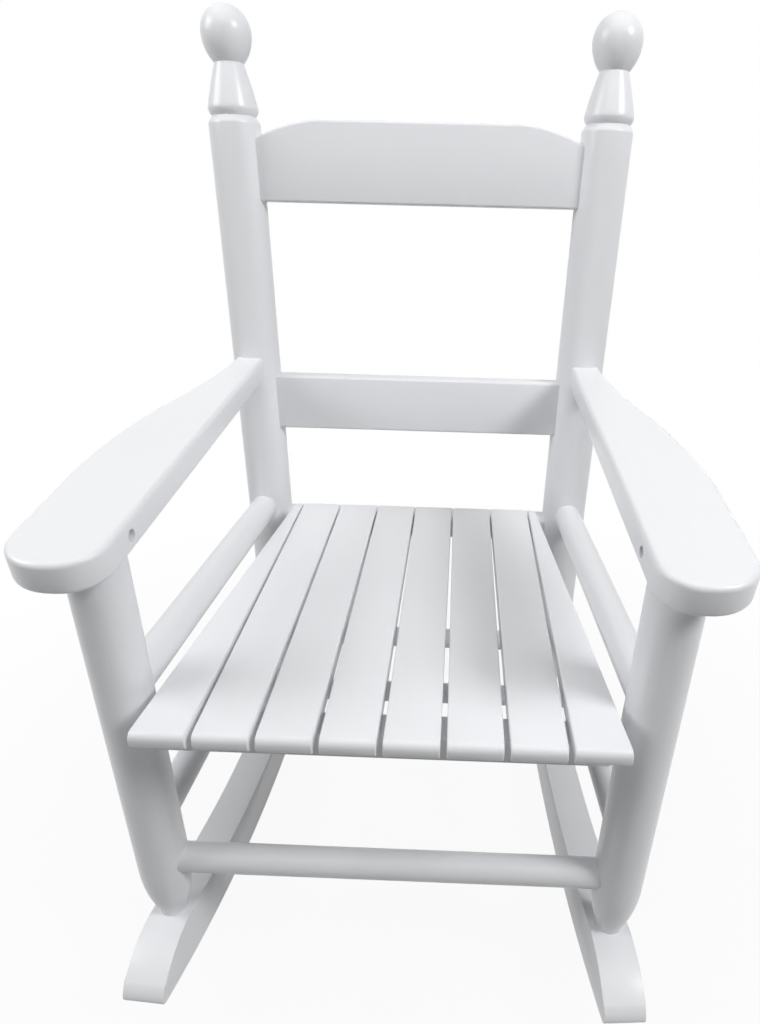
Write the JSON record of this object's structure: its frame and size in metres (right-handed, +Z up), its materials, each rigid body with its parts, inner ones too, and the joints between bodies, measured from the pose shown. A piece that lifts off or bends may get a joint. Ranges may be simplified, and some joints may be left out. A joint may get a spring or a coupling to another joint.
{
  "type": "kids rocking chair",
  "caption": "Small wooden rocking chair with turned posts and ball finials, a slat seat, two back boards, paddle arms and curved rockers, painted white.",
  "frame": {"origin": "on the floor under the lowest point of the rockers, midway between them", "axes": "+Z up, +X to the right as seen from the front, +Y to the back of the chair"},
  "size_m": [0.3702, 0.4602, 0.612],
  "materials": {
    "white_paint": "satin white paint",
    "steel": "zinc plated",
    "dowel_wood": "bare"
  },
  "bodies": {
    "root": {"arm_dowels": "dowel_wood", "arm_left": "white_paint", "arm_pins": "steel", "arm_right": "white_paint", "back_rail": "white_paint", "centre_stretcher": "white_paint", "crest_rail": "white_paint", "front_post_left": "white_paint", "front_post_right": "white_paint", "front_seat_rung": "white_paint", "front_stretcher": "white_paint", "rear_post_left": "white_paint", "rear_post_right": "white_paint", "rear_seat_rung": "white_paint", "rear_stretcher": "white_paint", "rocker_left": "white_paint", "rocker_right": "white_paint", "rocker_screws": "steel", "seat_batten_front": "white_paint", "seat_batten_rear": "white_paint", "seat_slat_1": "white_paint", "seat_slat_2": "white_paint", "seat_slat_3": "white_paint", "seat_slat_4": "white_paint", "seat_slat_5": "white_paint", "seat_slat_6": "white_paint", "seat_slat_7": "white_paint", "seat_slat_8": "white_paint", "side_rail_left": "white_paint", "side_rail_right": "white_paint", "side_stretcher_left": "white_paint", "side_stretcher_right": "white_paint", "slat_screws": "steel"}
  },
  "joints": []
}
